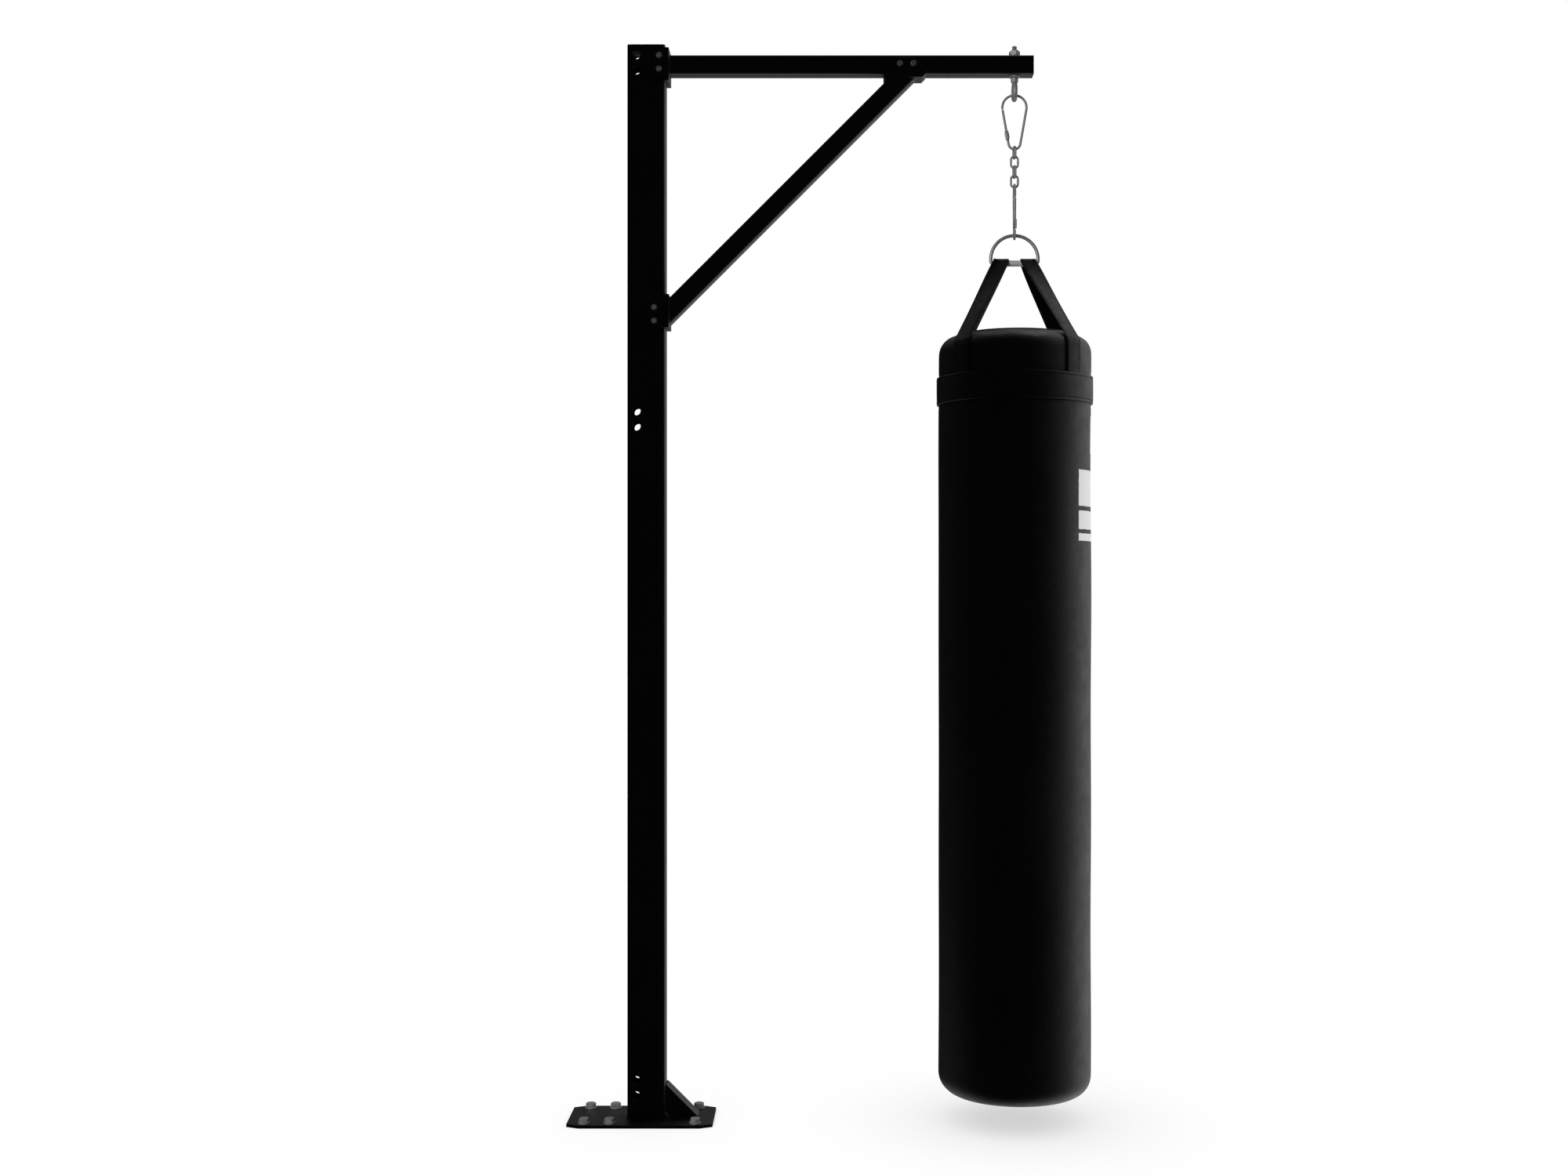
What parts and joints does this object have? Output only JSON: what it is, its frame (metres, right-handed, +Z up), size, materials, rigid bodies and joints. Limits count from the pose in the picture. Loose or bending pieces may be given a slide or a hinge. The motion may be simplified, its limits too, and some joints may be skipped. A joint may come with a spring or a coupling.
{
  "type": "punching bag on stand",
  "caption": "Cylindrical heavy punching bag hung by straps, a ring, snap hooks and a short chain from the braced boom of a floor-bolted steel post.",
  "frame": {"origin": "post axis at floor level, in the plane of the base plate's underside", "axes": "+X along the boom towards the hanging bag, +Y to the back, +Z up along the post"},
  "size_m": [1.0579, 0.3158, 2.172],
  "materials": {
    "black_powder_coat": "satin",
    "dark_fastener": "satin",
    "zinc_plate": "satin",
    "black_plastic": "matte",
    "black_vinyl": "satin",
    "textile_fill": "matte"
  },
  "bodies": {
    "stand": {"base_plate": "black_powder_coat", "post": "black_powder_coat", "base_gusset": "black_powder_coat", "post_cap": "black_plastic", "boom": "black_powder_coat", "boom_cap": "black_plastic", "brace": "black_powder_coat", "boom_bracket": "black_powder_coat", "brace_lower_bracket": "black_powder_coat", "brace_upper_bracket": "black_powder_coat", "eye_bolt": "zinc_plate", "eye_washer_lower": "zinc_plate", "eye_washer_upper": "zinc_plate", "eye_nut": "zinc_plate", "bracket_bolt_1": "dark_fastener", "bracket_bolt_2": "dark_fastener", "bracket_bolt_3": "dark_fastener", "bracket_bolt_4": "dark_fastener", "bracket_bolt_5": "dark_fastener", "bracket_bolt_6": "dark_fastener", "bracket_nut_1": "dark_fastener", "bracket_nut_2": "dark_fastener", "bracket_nut_3": "dark_fastener", "bracket_nut_4": "dark_fastener", "bracket_nut_5": "dark_fastener", "bracket_nut_6": "dark_fastener", "anchor_bolt_1": "zinc_plate", "anchor_bolt_2": "zinc_plate", "anchor_bolt_3": "zinc_plate", "anchor_bolt_4": "zinc_plate", "anchor_bolt_5": "zinc_plate", "anchor_bolt_6": "zinc_plate", "anchor_washer_1": "zinc_plate", "anchor_washer_2": "zinc_plate", "anchor_washer_3": "zinc_plate", "anchor_washer_4": "zinc_plate", "anchor_washer_5": "zinc_plate", "anchor_washer_6": "zinc_plate"},
    "upper_hook": {"upper_carabiner": "zinc_plate", "upper_gate_pin": "zinc_plate"},
    "upper_hook_gate": {"upper_gate": "zinc_plate"},
    "link_1": {"chain_link_1": "zinc_plate"},
    "link_2": {"chain_link_2": "zinc_plate"},
    "link_3": {"chain_link_3": "zinc_plate"},
    "link_4": {"chain_link_4": "zinc_plate"},
    "lower_hook": {"lower_carabiner": "zinc_plate", "lower_gate_pin": "zinc_plate"},
    "lower_hook_gate": {"lower_gate": "zinc_plate"},
    "ring": {"d_ring": "zinc_plate"},
    "roller": {"ring_roller": "zinc_plate"},
    "bag": {"bag_shell": "black_vinyl", "bag_lid": "black_vinyl", "bag_filling": "textile_fill", "bag_belt": "black_vinyl", "strap_left": "black_vinyl", "strap_right": "black_vinyl"}
  },
  "joints": [
    {"name": "upper_hook_swing", "type": "hinge", "parent": "stand", "child": "upper_hook", "pos_m": [0.744, 0, 2.0731], "axis": [1, 0, 0], "range_deg": [-25, 25]},
    {"name": "link_1_swing", "type": "hinge", "parent": "upper_hook", "child": "link_1", "pos_m": [0.744, 0, 1.9692], "axis": [0, -1, 0], "range_deg": [-4, 18]},
    {"name": "link_2_swing", "type": "hinge", "parent": "link_1", "child": "link_2", "pos_m": [0.744, 0, 1.9496], "axis": [1, 0, 0], "range_deg": [-6, 6]},
    {"name": "link_3_swing", "type": "hinge", "parent": "link_2", "child": "link_3", "pos_m": [0.744, 0, 1.93], "axis": [0, -1, 0], "range_deg": [-4, 18]},
    {"name": "link_4_swing", "type": "hinge", "parent": "link_3", "child": "link_4", "pos_m": [0.744, 0, 1.9104], "axis": [1, 0, 0], "range_deg": [-6, 6]},
    {"name": "lower_hook_swing", "type": "hinge", "parent": "link_4", "child": "lower_hook", "pos_m": [0.744, 0, 1.8913], "axis": [0, -1, 0], "range_deg": [-4, 18]},
    {"name": "ring_swing", "type": "hinge", "parent": "lower_hook", "child": "ring", "pos_m": [0.744, 0, 1.7889], "axis": [1, 0, 0], "range_deg": [-8, 8]},
    {"name": "roller_spin", "type": "hinge", "parent": "ring", "child": "roller", "pos_m": [0.744, 0, 1.7326], "axis": [1, 0, 0], "continuous": true},
    {"name": "bag_swing", "type": "hinge", "parent": "ring", "child": "bag", "pos_m": [0.744, 0, 1.7326], "axis": [1, 0, 0], "range_deg": [-10, 10]},
    {"name": "upper_gate_hinge", "type": "hinge", "parent": "upper_hook", "child": "upper_hook_gate", "pos_m": [0.72925, 0, 1.99078], "axis": [0, 1, 0], "range_deg": [0, 24], "stiffness_Nm_per_rad": 0.05},
    {"name": "lower_gate_hinge", "type": "hinge", "parent": "lower_hook", "child": "lower_hook_gate", "pos_m": [0.74328, -0.01473, 1.80898], "axis": [-0.9988, 0.0489, 0], "range_deg": [0, 24], "stiffness_Nm_per_rad": 0.05}
  ]
}
